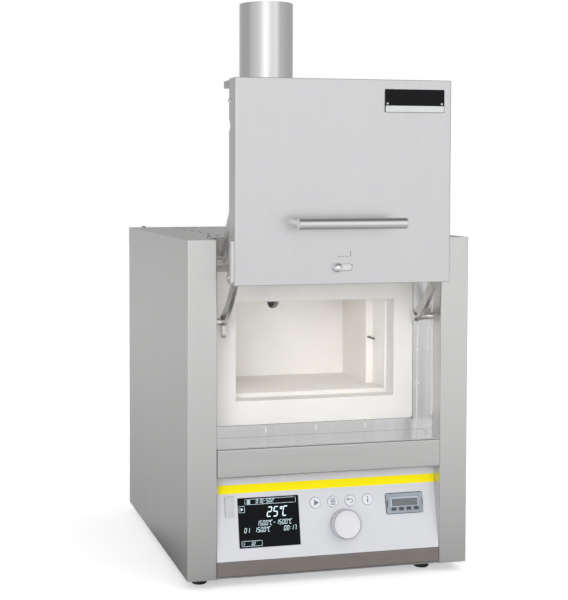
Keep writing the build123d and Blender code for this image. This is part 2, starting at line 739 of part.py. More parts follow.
with BuildPart() as air_slider:
    block((air_slot_left - 26, air_slot_left + 26.3),
          (door_face + sheet + 0.2, door_face + 2 * sheet + 0.2),
          (air_slot_height - 8.2, air_slot_height + 8.2))
    rod(point(air_slot_left - air_travel, door_face + 1, air_slot_height),
        point(air_slot_left - air_travel, door_face + 5, air_slot_height), 4, Mode.SUBTRACT)
    rod(point(air_slot_left, door_face + sheet + 1, air_slot_height),
        point(air_slot_left, door_face - 1.2, air_slot_height), 3)
save(air_slider.part, "air_slider")

with BuildPart() as air_knob:
    knob_seat = point(air_slot_left, door_face - 0.3, air_slot_height)
    with BuildSketch(Plane(origin=knob_seat, x_dir=(1, 0, 0), z_dir=(0, 0, -1))):
        with BuildLine():
            Polyline((0, knob_height), (0, 0.9), (3, 0.9), (3, 0), (5.4, 0), (knob_radius, 0.8),
                     (knob_radius, 3.4))
            dome_line(knob_radius, 3.4, knob_height - 3.4)
        make_face()
    revolve(axis=Axis(knob_seat, (0, -1, 0)))
save(air_knob.part, "air_knob")

# Linkage


def arm_line(height, bow):
    """the arc from a casing pivot to its door pivot, in the plane of depth and height"""
    start = Vector(front + pivot_depth, height)
    end = Vector(front + door_pivot_depth, height + arm_rise)
    across = (end - start).normalized().rotate(Axis.Z, 90)
    return ThreePointArc(start, (start + end) / 2 + across * bow, end)


# Only the left lower arm has a tail.
tail_end = (front + pivot_depth - 0.12 * tail_length, lower_pivot - 0.993 * tail_length)
with BuildPart() as lower_arms:
    for inner in (arm_inner, -arm_outer):
        with BuildSketch(Plane.YZ.offset(inner)):
            with BuildLine(mode=Mode.PRIVATE):
                middle_line = arm_line(lower_pivot, lower_arm_bow)
            SlotArc(middle_line, arm_width)
            if inner < 0:
                SlotCenterPoint(((front + pivot_depth + tail_end[0]) / 2, (lower_pivot + tail_end[1]) / 2),
                                tail_end, 9)
            with Locations((front + pivot_depth, lower_pivot),
                           (front + door_pivot_depth, lower_pivot + arm_rise)):
                Circle(pivot_radius + running_fit, mode=Mode.SUBTRACT)
        extrude(amount=arm_thickness)
save(lower_arms.part, "lower_arms")

with BuildPart() as upper_arms:
    for inner in (arm_inner, -arm_outer):
        with BuildSketch(Plane.YZ.offset(inner)):
            with BuildLine(mode=Mode.PRIVATE):
                middle_line = arm_line(upper_pivot, upper_arm_bow)
            SlotArc(middle_line, arm_width)
            with Locations((front + pivot_depth, upper_pivot)):
                Circle(pivot_radius + running_fit, mode=Mode.SUBTRACT)
            with Locations((front + door_pivot_depth, upper_pivot + arm_rise)):
                Circle(pivot_radius + open_fit, mode=Mode.SUBTRACT)
        extrude(amount=arm_thickness)
save(upper_arms.part, "upper_arms")

# Four shafts carry the arms on the recess walls.
wall_reach = post_inner - arm_inner
shaft_radii = {lower_pivot: lower_shaft_radius, upper_pivot: upper_shaft_radius}
with BuildPart() as linkage_studs:
    for side in (-1, 1):
        for height, radius in shaft_radii.items():
            turned(point(side * (arm_inner - 2.4), pivot_depth, height), (side, 0, 0),
                   [(0, 0), (5.4, 0), (6, 0.6), (6, 2.2), (pivot_radius, 2.2),
                    (pivot_radius, arm_thickness + 2.6), (radius, arm_thickness + 2.6),
                    (radius, wall_reach + 2.4), (3, wall_reach + 2.4), (3, wall_reach + 6), (0, wall_reach + 6)])
save(linkage_studs.part, "linkage_studs")

# Screws of the casing

with BuildPart() as casing_screws:
    for place in rear_screw_places:
        dome_screw(place, (0, 1, 0), rear_screw, 1.4, 4)
    for place in cover_screw_places:
        dome_screw(place, (0, 0, 1), cover_screw, 3, 5)
save(casing_screws.part, "casing_screws")
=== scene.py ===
import math

import bmesh
import bpy
from mathutils import Matrix, Vector


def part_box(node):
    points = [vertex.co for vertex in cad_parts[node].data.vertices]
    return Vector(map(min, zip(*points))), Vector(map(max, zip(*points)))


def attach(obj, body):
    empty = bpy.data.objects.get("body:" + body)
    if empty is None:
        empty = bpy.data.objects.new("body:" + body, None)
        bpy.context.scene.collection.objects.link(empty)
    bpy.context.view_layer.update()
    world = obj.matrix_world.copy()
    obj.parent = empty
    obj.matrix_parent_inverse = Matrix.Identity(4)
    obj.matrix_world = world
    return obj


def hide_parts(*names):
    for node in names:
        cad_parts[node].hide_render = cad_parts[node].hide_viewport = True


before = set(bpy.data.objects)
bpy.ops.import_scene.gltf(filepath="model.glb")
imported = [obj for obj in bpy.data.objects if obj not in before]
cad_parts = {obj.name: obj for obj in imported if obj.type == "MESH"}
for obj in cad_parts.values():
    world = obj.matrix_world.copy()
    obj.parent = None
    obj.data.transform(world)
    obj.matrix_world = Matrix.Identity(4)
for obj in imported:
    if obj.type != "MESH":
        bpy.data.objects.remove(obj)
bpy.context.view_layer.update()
print("frame loaded")


def clearSelection():
    if bpy.context.object and bpy.context.object.mode != "OBJECT":
        bpy.ops.object.mode_set(mode="OBJECT")
    bpy.ops.object.select_all(action="DESELECT")


def selectOnly(piece):
    clearSelection()
    piece.select_set(True)
    bpy.context.view_layer.objects.active = piece


def settle(piece):
    # the place and size go into the mesh, so that the object stands at the origin
    selectOnly(piece)
    bpy.ops.object.transform_apply(location=True, rotation=True, scale=True)
    return piece


def smooth(piece, degrees):
    selectOnly(piece)
    bpy.ops.object.shade_smooth_by_angle(angle=math.radians(degrees))


def pick(piece, kind, wanted):
    # selects the corners, edges or faces that stand where wanted says, and stays in edit mode
    selectOnly(piece)
    bpy.ops.object.mode_set(mode="EDIT")
    bpy.ops.mesh.select_mode(type=kind)
    bpy.ops.mesh.select_all(action="DESELECT")
    mesh = bmesh.from_edit_mesh(piece.data)
    if kind == "VERT":
        for corner in mesh.verts:
            corner.select = wanted(corner.co)
    elif kind == "EDGE":
        for edge in mesh.edges:
            edge.select = wanted((edge.verts[0].co + edge.verts[1].co) / 2)
    else:
        for face in mesh.faces:
            face.select = wanted(face.calc_center_median(), face.normal)
    mesh.select_flush_mode()
    bmesh.update_edit_mesh(piece.data)


def faceOutwards(piece):
    # corners that meet are merged, and every face points outwards
    selectOnly(piece)
    bpy.ops.object.mode_set(mode="EDIT")
    bpy.ops.mesh.select_all(action="SELECT")
    bpy.ops.mesh.remove_doubles(threshold=0.000001)
    bpy.ops.mesh.normals_make_consistent(inside=False)
    bpy.ops.object.mode_set(mode="OBJECT")


def placed(piece, place, name="part"):
    piece.data.transform(place)
    piece.name = name
    return piece


def copyAt(model, place):
    # each copy has a mesh of its own
    twin = model.copy()
    twin.data = model.data.copy()
    bpy.context.scene.collection.objects.link(twin)
    return placed(twin, place)


def copiesAt(model, places):
    # what repeats is modelled once, and the model goes when its copies stand
    copies = [copyAt(model, place) for place in places]
    bpy.data.objects.remove(model)
    return copies


def joined(pieces, name):
    clearSelection()
    for piece in pieces:
        piece.select_set(True)
    bpy.context.view_layer.objects.active = pieces[0]
    bpy.ops.object.join()
    pieces[0].name = name
    return pieces[0]


def finishPiece(piece, body, material, slot, *nodes):
    piece.data.materials.clear()
    piece.data.materials.append(material)
    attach(piece, body)
    if nodes:
        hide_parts(*nodes)
    return piece


# Camera, where the photograph was taken from

camera = {"place": (-0.5498, -1.74927, 0.53322), "pitchDown": 2.647, "turn": 13.599, "focal": 1285.04,
          "acrossShift": 77, "upShift": -66, "pictureHeight": 600, "sensor": 36, "nearest": 0.01}
bpy.ops.object.camera_add(
    location=camera["place"],
    rotation=(math.radians(90 - camera["pitchDown"]), 0, -math.radians(camera["turn"])))
photoCamera = bpy.context.object
photoCamera.name = "photoCamera"
photoCamera.data.sensor_width = camera["sensor"]
photoCamera.data.lens = camera["focal"] / camera["pictureHeight"] * camera["sensor"]
photoCamera.data.shift_x = camera["acrossShift"] / camera["pictureHeight"]
photoCamera.data.shift_y = camera["upShift"] / camera["pictureHeight"]
photoCamera.data.clip_start = camera["nearest"]
bpy.context.scene.camera = photoCamera


# Studio: a white room that steel mirrors with light and dark sides, two broad suns and a pale floor

studio = {
    "white": (1, 1, 1, 1), "roomLight": 0.68, "mirrorLevel": 1.27,
    "mirrorRound": [(0.0, 0.50), (0.12, 0.68), (0.165, 1.0), (0.195, 1.26), (0.22, 1.22), (0.245, 0.96),
                    (0.285, 0.80), (0.322, 0.92), (0.345, 0.80), (0.37, 0.52), (0.50, 0.42), (0.62, 0.40),
                    (0.75, 0.48), (0.88, 0.40)],
    "mirrorUp": [(0.0, 1.0), (0.40, 1.0), (0.75, 0.44), (1.0, 0.36)]}


def addNode(tree, kind, inputs=None, **settings):
    # a plain value goes on the socket itself, another node's output is linked to it
    node = tree.nodes.new("ShaderNode" + kind)
    for name, value in settings.items():
        setattr(node, name, value)
    for socket, value in (inputs or {}).items():
        if isinstance(value, bpy.types.NodeSocket):
            tree.links.new(value, node.inputs[socket])
        else:
            node.inputs[socket].default_value = value
    return node


def product(tree, first, second):
    return addNode(tree, "Math", {0: first, 1: second}, operation="MULTIPLY").outputs[0]


def mixture(tree, factor, first, second):
    return addNode(tree, "MixShader", {0: factor, 1: first.outputs[0], 2: second.outputs[0]})


def greyRamp(tree, factor, stops, smoothness="LINEAR"):
    ramp = addNode(tree, "ValToRGB", {"Fac": factor})
    ramp.color_ramp.interpolation = smoothness
    while len(ramp.color_ramp.elements) < len(stops):
        ramp.color_ramp.elements.new(0.5)
    for element, (position, level) in zip(ramp.color_ramp.elements, stops):
        element.position = position
        element.color = (level, level, level, 1)
    return ramp.outputs["Color"]


def makeWorld():
    world = bpy.data.worlds.new("studioRoom")
    bpy.context.scene.world = world
    world.use_nodes = True
    tree = world.node_tree
    tree.nodes.clear()
    room = addNode(tree, "Background", {"Color": studio["white"], "Strength": studio["roomLight"]})
    # what steel mirrors: bright in front, darker at the sides and overhead
    direction = addNode(tree, "TexCoord").outputs["Generated"]
    compass = addNode(tree, "TexGradient", {"Vector": direction}, gradient_type="RADIAL")
    aroundLevel = greyRamp(tree, compass.outputs["Fac"], studio["mirrorRound"])
    axes = addNode(tree, "SeparateXYZ", {0: direction})
    upLevel = greyRamp(tree, axes.outputs["Z"], studio["mirrorUp"], "EASE")
    level = product(tree, product(tree, aroundLevel, upLevel), studio["mirrorLevel"])
    mirrored = addNode(tree, "Background", {"Color": studio["white"], "Strength": level})
    seen = addNode(tree, "Background", {"Color": studio["white"]})
    paths = addNode(tree, "LightPath")
    litOrMirrored = mixture(tree, paths.outputs["Is Glossy Ray"], room, mirrored)
    straight = addNode(tree, "Math", {0: paths.outputs["Is Camera Ray"], 1: paths.outputs["Is Transmission Ray"]},
                       operation="MAXIMUM")
    surround = mixture(tree, straight.outputs[0], litOrMirrored, seen)
    addNode(tree, "OutputWorld", {"Surface": surround.outputs[0]})


floorLooks = {
    "colour": (0.80, 0.80, 0.80), "size": 16, "lift": 0.44, "reach": 4.0, "depth": 1.0, "behind": 0.68,
    "mirror": [(0.0, 0.12), (0.055, 0.22), (0.07, 0.56), (0.25, 0.79), (0.50, 0.93)],
    "across": [(0.0, 1.12), (0.42, 1.08), (0.475, 0.96), (0.525, 0.96), (0.61, 1.08), (1.0, 1.12)]}


def makeFloor():
    clearSelection()
    bpy.ops.mesh.primitive_plane_add(size=floorLooks["size"])
    floor = bpy.context.object
    floor.name = "studioFloor"
    material = bpy.data.materials.new("paleFloor")
    material.use_nodes = True
    tree = material.node_tree
    tree.nodes.clear()
    matte = addNode(tree, "BsdfDiffuse", {"Color": (*floorLooks["colour"], 1)})
    # seen by the camera the lit floor comes up to white and keeps its shadow
    paths = addNode(tree, "LightPath")
    lift = addNode(tree, "Emission", {"Color": studio["white"],
                                      "Strength": product(tree, paths.outputs["Is Camera Ray"], floorLooks["lift"])})
    lit = addNode(tree, "AddShader", {0: matte.outputs[0], 1: lift.outputs[0]})
    # steel mirrors a floor that is dim round the furnace and brighter further out
    reach, depth = floorLooks["reach"], floorLooks["depth"]
    where = addNode(tree, "TexCoord").outputs["Object"]
    size = addNode(tree, "Mapping", {"Vector": where, "Scale": (1 / reach,) * 3})
    near = addNode(tree, "TexGradient", {"Vector": size.outputs["Vector"]}, gradient_type="SPHERICAL")
    away = addNode(tree, "Math", {0: 1.0, 1: near.outputs["Fac"]}, operation="SUBTRACT")
    glow = greyRamp(tree, away.outputs[0], floorLooks["mirror"])
    axes = addNode(tree, "SeparateXYZ", {0: where})
    backwards = addNode(tree, "MapRange", {"Value": axes.outputs["Y"], "From Min": -depth, "From Max": depth,
                                           "To Min": 1.0, "To Max": floorLooks["behind"]})
    sideways = addNode(tree, "MapRange", {"Value": axes.outputs["X"], "From Min": -reach, "From Max": reach})
    acrossLevel = greyRamp(tree, sideways.outputs["Result"], floorLooks["across"])
    mirrored = addNode(tree, "Emission", {"Color": glow,
                                          "Strength": product(tree, backwards.outputs["Result"], acrossLevel)})
    surface = mixture(tree, paths.outputs["Is Glossy Ray"], lit, mirrored)
    addNode(tree, "OutputMaterial", {"Surface": surface.outputs[0]})
    floor.data.materials.append(material)


suns = {
    "keySun": {"shinesFrom": (0.7, -0.9, 1.1), "spread": 40, "power": 0.55},
    "frontSun": {"shinesFrom": (-0.42, -1.0, 0.28), "spread": 36, "power": 1.40},
}
sunAway = 3


def makeSuns():
    for name, sun in suns.items():
        bpy.ops.object.light_add(type="SUN", location=Vector(sun["shinesFrom"]) * sunAway)
        light = bpy.context.object
        light.name = name
        light.data.angle = math.radians(sun["spread"])
        light.data.energy = sun["power"]
        light.rotation_euler = (-Vector(sun["shinesFrom"])).to_track_quat("-Z", "Y").to_euler()
        light.visible_glossy = False


mouthLamp = {"place": (0.0, -0.084, 0.305), "size": (0.19, 0.11), "power": 0.030}


def makeMouthLamp():
    # a soft fill that faces into the chamber, whose walls are nearly white in the photograph
    bpy.ops.object.light_add(type="AREA", location=mouthLamp["place"], rotation=(math.radians(90), 0, 0))
    light = bpy.context.object
    light.name = "mouthLamp"
    light.data.shape = "RECTANGLE"
    light.data.size, light.data.size_y = mouthLamp["size"]
    light.data.energy = mouthLamp["power"]
    light.visible_camera = False
    light.visible_glossy = False


makeWorld()
makeFloor()
makeSuns()
makeMouthLamp()
bpy.context.scene.view_settings.view_transform = "Standard"
print("studio ready")


# Finishes

grainRange = {"colour": (0.35, 0.65), "gloss": (0.3, 0.7)}  # the part of the noise that is spread out


def newMaterial(name, colour, roughness, metallic=0.0, specular=0.5):
    material = bpy.data.materials.new(name)
    material.use_nodes = True
    shader = material.node_tree.nodes["Principled BSDF"]
    shader.inputs["Base Color"].default_value = (*colour, 1)
    shader.inputs["Roughness"].default_value = roughness
    shader.inputs["Metallic"].default_value = metallic
    shader.inputs["Specular IOR Level"].default_value = specular
    return material, shader


def grain(material, scale, detail, distortion=0.0):
    # noise on the object's own coordinates, stretched by a scale for each axis
    tree = material.node_tree
    where = addNode(tree, "TexCoord").outputs["Object"]
    mapping = addNode(tree, "Mapping", {"Vector": where, "Scale": scale})
    noise = addNode(tree, "TexNoise", {"Vector": mapping.outputs["Vector"], "Scale": 1.0, "Detail": detail,
                                       "Distortion": distortion})
    return noise.outputs["Fac"]


def colourBetween(material, shader, factor, dark, light):
    ramp = addNode(material.node_tree, "ValToRGB", {"Fac": factor})
    for element, position, colour in zip(ramp.color_ramp.elements, grainRange["colour"], (dark, light)):
        element.position = position
        element.color = (*colour, 1)
    material.node_tree.links.new(ramp.outputs["Color"], shader.inputs["Base Color"])
    return ramp


def roughnessBetween(material, shader, factor, low, high):
    first, last = grainRange["gloss"]
    spread = addNode(material.node_tree, "MapRange", {"Value": factor, "From Min": first, "From Max": last,
                                                      "To Min": low, "To Max": high})
    material.node_tree.links.new(spread.outputs["Result"], shader.inputs["Roughness"])


def relief(material, shader, factor, depth, strength=1.0):
    bump = addNode(material.node_tree, "Bump", {"Strength": strength, "Distance": depth, "Height": factor})
    material.node_tree.links.new(bump.outputs["Normal"], shader.inputs["Normal"])


def shade(colour, factor):
    return tuple(min(1.0, channel * factor) for channel in colour)


def brushedMetal(name, colour, roughness, lines, streaks, contrast=0.04, depth=0.00002,
                 smoother=0.05, rougher=0.06):
    # fine scratch lines for gloss and relief, broad soft streaks for colour
    material, shader = newMaterial(name, colour, roughness, 1.0)
    fine = grain(material, lines, 2.0)
    broad = grain(material, streaks, 4.0)
    colourBetween(material, shader, broad, shade(colour, 1 - contrast), shade(colour, 1 + contrast))
    roughnessBetween(material, shader, fine, roughness - smoother, roughness + rougher)
    relief(material, shader, fine, depth)
    return material


def mouldedPlastic(name, colour, roughness, grainSize=0.0008, contrast=0.03, depth=0.00003, specular=0.5,
                   cloudScale=40, smoother=0.04, rougher=0.06):
    material, shader = newMaterial(name, colour, roughness, 0.0, specular)
    pores = grain(material, (1 / grainSize,) * 3, 2.0)
    clouds = grain(material, (cloudScale,) * 3, 3.0)
    colourBetween(material, shader, clouds, shade(colour, 1 - contrast), shade(colour, 1 + contrast))
    roughnessBetween(material, shader, pores, roughness - smoother, roughness + rougher)
    relief(material, shader, pores, depth)
    return material


def fibreBoard(name, colour, contrast=0.03, depth=0.00025, roughness=0.92, fibreScale=900, cloudScale=16,
               tangle=0.6, matting=0.6):
    # pressed ceramic fibre: cloudy, with short matted fibres
    material, shader = newMaterial(name, colour, roughness)
    matted = grain(material, (fibreScale,) * 3, 6.0, tangle)
    clouds = grain(material, (cloudScale,) * 3, 5.0)
    colourBetween(material, shader, clouds, shade(colour, 1 - contrast), shade(colour, 1 + contrast * 0.5))
    relief(material, shader, matted, depth, matting)
    return material


def glowingInk(name, colour, glow, roughness=0.4, specular=0.2, cloudScale=300, dimmest=0.94, brightest=1.04):
    # lit segments of a display, a little uneven
    material, shader = newMaterial(name, colour, roughness, 0.0, specular)
    clouds = grain(material, (cloudScale,) * 3, 2.0)
    ramp = colourBetween(material, shader, clouds, shade(colour, dimmest), shade(colour, brightest))
    material.node_tree.links.new(ramp.outputs["Color"], shader.inputs["Emission Color"])
    shader.inputs["Emission Strength"].default_value = glow
    return material


casingColour = (0.68, 0.675, 0.67)
doorColour = (0.67, 0.67, 0.68)
finishes = {
    "casingSteel": brushedMetal("casingSteel", casingColour, 0.36, (2600, 2600, 22), (90, 90, 1.2), 0.009),
    "doorSteel": brushedMetal("doorSteel", doorColour, 0.34, (2600, 2600, 22), (70, 70, 1.4), 0.007),
    "sillSteel": brushedMetal("sillSteel", (0.66, 0.655, 0.65), 0.34, (22, 2600, 2600), (1.8, 130, 130), 0.02),
    "coverSteel": brushedMetal("coverSteel", (0.60, 0.59, 0.585), 0.38, (2600, 22, 2600), (130, 1.8, 130), 0.02),
    "liningSteel": brushedMetal("liningSteel", (0.86, 0.855, 0.86), 0.16, (2600, 2600, 24), (90, 90, 2), 0.02),
    "fasciaSteel": brushedMetal("fasciaSteel", (0.71, 0.71, 0.715), 0.18, (2600, 2600, 24), (90, 90, 2), 0.02),
    "shelfSteel": brushedMetal("shelfSteel", (0.60, 0.60, 0.605), 0.16, (24, 2600, 2600), (2, 90, 90), 0.02),
    "zincSheet": brushedMetal("zincSheet", (0.58, 0.59, 0.60), 0.42, (500, 500, 500), (60, 60, 60), 0.10),
    "tubeSteel": brushedMetal("tubeSteel", (0.68, 0.68, 0.68), 0.20, (700, 700, 9), (60, 60, 2), 0.012, 0.000006),
    "barSteel": brushedMetal("barSteel", (0.70, 0.69, 0.68), 0.11, (18, 2400, 2400), (3, 90, 90), 0.02, 0.00001),
    "armSteel": brushedMetal("armSteel", (0.60, 0.59, 0.575), 0.26, (1800, 1800, 60), (12, 60, 12), 0.03, 0.000005),
    "screwSteel": brushedMetal("screwSteel", (0.74, 0.73, 0.72), 0.18, (1500, 1500, 1500), (200, 200, 200), 0.05),
    "chrome": brushedMetal("chrome", (0.86, 0.86, 0.87), 0.07, (900, 900, 900), (80, 80, 80), 0.01, 0.000004),
    "darkSteel": brushedMetal("darkSteel", (0.20, 0.19, 0.18), 0.40, (900, 900, 900), (60, 60, 60), 0.15),
    "heatSink": brushedMetal("heatSink", (0.60, 0.61, 0.62), 0.38, (1800, 22, 1800), (90, 4, 90), 0.04),
    "socketShell": brushedMetal("socketShell", (0.72, 0.72, 0.72), 0.28, (900, 900, 900), (120, 120, 120), 0.04),
    "fibre": fibreBoard("fibre", (0.90, 0.885, 0.855)),
    "kilnPlate": fibreBoard("kilnPlate", (0.87, 0.85, 0.815), depth=0.00012),
    "taupePaint": mouldedPlastic("taupePaint", (0.165, 0.148, 0.137), 0.45, 0.0006, 0.04),
    "whiteFilm": mouldedPlastic("whiteFilm", (0.60, 0.605, 0.635), 0.38, 0.0005, 0.012, 0.00001),
    "yellowFilm": mouldedPlastic("yellowFilm", (0.92, 0.79, 0.0), 0.40, 0.0005, 0.015, 0.00001, 0.2),
    "blackGlass": mouldedPlastic("blackGlass", (0.0025, 0.003, 0.004), 0.14, 0.002, 0.10, 0.000004, 0.10),
    "buttonGrey": mouldedPlastic("buttonGrey", (0.68, 0.69, 0.725), 0.36),
    "dialWhite": mouldedPlastic("dialWhite", (0.65, 0.65, 0.675), 0.36, 0.0006, 0.012, 0.00001),
    "limiterShell": mouldedPlastic("limiterShell", (0.27, 0.315, 0.36), 0.42, 0.0005, 0.05),
    "limiterKeys": mouldedPlastic("limiterKeys", (0.055, 0.06, 0.07), 0.45, 0.0005, 0.06),
    "flapPlastic": mouldedPlastic("flapPlastic", (0.50, 0.51, 0.535), 0.46),
    "boardGreen": mouldedPlastic("boardGreen", (0.05, 0.20, 0.10), 0.40, 0.001, 0.12),
    "blackPlastic": mouldedPlastic("blackPlastic", (0.025, 0.025, 0.027), 0.42, 0.0007, 0.12),
    "rockerBlack": mouldedPlastic("rockerBlack", (0.02, 0.02, 0.022), 0.24, 0.0007, 0.10, 0.00001),
    "plateBlack": mouldedPlastic("plateBlack", (0.004, 0.004, 0.005), 0.34, 0.0006, 0.10, 0.00001, 0.14),
    "displayInk": glowingInk("displayInk", (0.62, 0.80, 0.86), 0.42),
    "iconGrey": mouldedPlastic("iconGrey", (0.17, 0.18, 0.21), 0.5, 0.0004, 0.05, 0.000005, 0.3),
    # the button rims' grey, also used for the painted shade lines round the dial, its edge and the socket's cover
    "rimGreyAndShade": mouldedPlastic("rimGreyAndShade", (0.30, 0.31, 0.35), 0.45, 0.0004, 0.05, 0.000005, 0.3),
    "windowGlass": mouldedPlastic("windowGlass", (0.13, 0.145, 0.15), 0.16, 0.002, 0.06, 0.000004, 0.4),
    "windowFrame": mouldedPlastic("windowFrame", (0.42, 0.47, 0.52), 0.40, 0.0005, 0.05),
    # also the colour of the painted shade line round the limiter
    "clipBlackAndShade": mouldedPlastic("clipBlackAndShade", (0.02, 0.022, 0.026), 0.45, 0.0005, 0.1),
    "paleStrip": mouldedPlastic("paleStrip", (0.60, 0.62, 0.60), 0.42, 0.0005, 0.02, 0.00001, 0.3),
    "markWhite": mouldedPlastic("markWhite", (0.72, 0.72, 0.72), 0.5, 0.0005, 0.03, 0.00001, 0.3),
    "brass": brushedMetal("brass", (0.78, 0.74, 0.62), 0.26, (600, 1800, 1800), (60, 60, 60), 0.05),
    "rubber": mouldedPlastic("rubber", (0.022, 0.022, 0.022), 0.72, 0.0010, 0.15, 0.00008),
}

finishedNodes = {
    "casingSteel": ("side_panel_left", "side_panel_right"),
    "doorSteel": ("door_panel",),
    "sillSteel": ("sill_panel", "door_top_rail"),
    "coverSteel": ("top_cover",),
    "liningSteel": ("lining_left", "lining_right", "door_tray", "flange_plates"),
    "fasciaSteel": ("fascia_frame",),
    "shelfSteel": ("lining_shelf",),
    "zincSheet": ("rear_panel", "base_tray", "hinge_plates"),
    "tubeSteel": ("exhaust_tube", "tube_collar"),
    "barSteel": ("handle_bar", "handle_posts", "air_slider"),
    "armSteel": ("lower_arms", "upper_arms"),
    "screwSteel": ("door_screws", "casing_screws", "linkage_studs"),
    "chrome": ("air_knob",),
    "darkSteel": ("plate_pins", "thermocouples", "dial_stem"),
    "heatSink": ("power_relay",),
    "socketShell": ("usb_socket",),
    "fibre": ("insulation_collar", "insulation_base", "insulation_roof", "insulation_sides", "insulation_rear",
              "door_insulation"),
    "kilnPlate": ("hearth_plate", "heating_plates"),
    "taupePaint": ("front_trim",),
    "whiteFilm": ("control_panel",),
    "yellowFilm": ("panel_stripe",),
    "blackGlass": ("display_unit",),
    "buttonGrey": ("button_start", "button_menu", "button_back", "button_info"),
    "dialWhite": ("dial",),
    "limiterShell": ("limit_controller",),
    "limiterKeys": ("limiter_button_1", "limiter_button_2", "limiter_button_3", "limiter_button_4"),
    "flapPlastic": ("usb_cover",),
    "boardGreen": ("control_board",),
    "blackPlastic": ("mains_inlet",),
    "rockerBlack": ("mains_switch",),
    "plateBlack": ("name_plate",),
    "rubber": ("feet",),
}
for finish, names in finishedNodes.items():
    for name in names:
        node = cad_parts[name]
        node.data.materials.clear()
        node.data.materials.append(finishes[finish])
print("finishes on the carried-over nodes")


# Flat drawings on the control panel, in millimetres across and up its slope

mm = 0.001
panel = {"foot": (0, -0.1663, 0.034), "rise": (0, 0.19712, 0.98038)}


def turned(degrees, axis):
    return Matrix.Rotation(math.radians(degrees), 4, axis)


def onPanel(across, up, lift):
    rise = Vector(panel["rise"]).normalized()
    outward = Vector((1, 0, 0)).cross(rise)
    spot = Vector(panel["foot"]) + Vector((across * mm, 0, 0)) + rise * up * mm + outward * lift * mm
    slope = Matrix((Vector((1, 0, 0)), rise, outward)).transposed().to_4x4()
    return Matrix.Translation(spot) @ slope @ Matrix.Scale(mm, 4)


def upright(across, depth, height, unit=1.0):
    # a flat drawing stood up, so that it faces forwards
    return Matrix.Translation((across, depth, height)) @ turned(90, "X") @ Matrix.Scale(unit, 4)


def plate(width, height, thickness, corner=0.0, edge=0.0):
    # a flat plate on its back face, with round corners and a soft front edge
    clearSelection()
    bpy.ops.mesh.primitive_cube_add(size=1, location=(0, 0, thickness / 2), scale=(width, height, thickness))
    piece = settle(bpy.context.object)
    if corner:
        pick(piece, "EDGE", lambda at: abs(at.x) > 0.49 * width and abs(at.y) > 0.49 * height)
        bpy.ops.mesh.bevel(offset=corner, segments=5)
    if edge:
        pick(piece, "FACE", lambda at, normal: normal.z > 0.9)
        bpy.ops.mesh.bevel(offset=edge, segments=2)
    bpy.ops.object.mode_set(mode="OBJECT")
    return piece


barShape = {"radius": 0.1, "acrossFlats": 0.173, "depth": 0.1, "stretch": 0.4}
inkHigh = 0.06


def segmentBar():
    # one bar of a figure, 1 long and pointed at both ends
    clearSelection()
    bpy.ops.mesh.primitive_cylinder_add(vertices=6, radius=barShape["radius"], depth=barShape["depth"])
    bar = bpy.context.object
    for side in (-1, 1):
        pick(bar, "VERT", lambda at: at.y * side > 0.01)
        bpy.ops.transform.translate(value=(0, barShape["stretch"] * side, 0))
    bpy.ops.object.mode_set(mode="OBJECT")
    return bar


barModel = segmentBar()


def barAt(base, start, end, thickness, high=inkHigh):
    # a copy of the bar from one point of a flat drawing to another
    start, end = Vector((*start, 0)), Vector((*end, 0))
    along = end - start
    turn = Matrix.Rotation(math.atan2(-along.x, along.y), 4, "Z")
    size = Matrix.Diagonal((thickness / barShape["acrossFlats"], along.length, high / barShape["depth"], 1))
    return copyAt(barModel, base @ Matrix.Translation((start + end) / 2) @ turn @ size)


def outline(base, left, bottom, width, height, thickness):
    corners = [(left, bottom), (left + width, bottom), (left + width, bottom + height), (left, bottom + height)]
    return [barAt(base, corners[step], corners[(step + 1) % 4], thickness) for step in range(4)]


figures = {
    "lines": {"a": ((0, 2), (1, 2)), "b": ((1, 1), (1, 2)), "c": ((1, 0), (1, 1)), "d": ((0, 0), (1, 0)),
              "e": ((0, 0), (0, 1)), "f": ((0, 1), (0, 2)), "g": ((0, 1), (1, 1))},
    "0": "abcdef", "1": "bc", "2": "abged", "5": "afgcd", "7": "abc", "C": "afed", "-": "g",
    "lean": 0.18, "wide": 0.42, "pitch": 0.70, "gap": 0.2,
    "degree": {"up": 0.74, "wide": 0.2, "high": 0.22, "thick": 0.8, "pitch": 0.36},
    "colon": {"up": (0.3, 0.7), "pitch": 0.30}}


def figuresAt(base, text, left, bottom, height, thickness):
    # seven-bar figures, with a small square for a degree sign and two dots for a colon
    wide, step = figures["wide"] * height, height / 2
    lean = Matrix(((1, figures["lean"], 0, 0), (0, 1, 0, 0), (0, 0, 1, 0), (0, 0, 0, 1)))
    degree, colon = figures["degree"], figures["colon"]
    bars = []
    for sign in text:
        seat = base @ Matrix.Translation((left, bottom, 0)) @ lean
        if sign == "o":
            bars += outline(seat, 0, height * degree["up"], height * degree["wide"], height * degree["high"],
                            thickness * degree["thick"])
            left += height * degree["pitch"]
        elif sign == ":":
            for up in colon["up"]:
                bars.append(barAt(seat, (thickness, height * up - thickness / 2),
                                  (thickness, height * up + thickness / 2), thickness))
            left += height * colon["pitch"]
        else:
            for line in figures[sign]:
                start, end = (Vector((x * wide, y * step)) for x, y in figures["lines"][line])
                short = (end - start).normalized() * thickness * figures["gap"]
                bars.append(barAt(seat, start + short, end - short, thickness))
            left += height * figures["pitch"]
    return bars


def arrowhead(base, place, reach, turn=0.0, edge=0.08):
    clearSelection()
    bpy.ops.mesh.primitive_cylinder_add(vertices=3, radius=1, depth=1)
    head = bpy.context.object
    pick(head, "FACE", lambda at, normal: normal.z > 0.9)
    bpy.ops.mesh.inset(thickness=edge)
    bpy.ops.object.mode_set(mode="OBJECT")
    # the first corner of a three-sided prism points up, so a quarter turn makes it point right
    return placed(head, base @ Matrix.Translation((*place, 0)) @ turned(turn - 90, "Z")
                  @ Matrix.Diagonal((reach, reach, inkHigh, 1)))


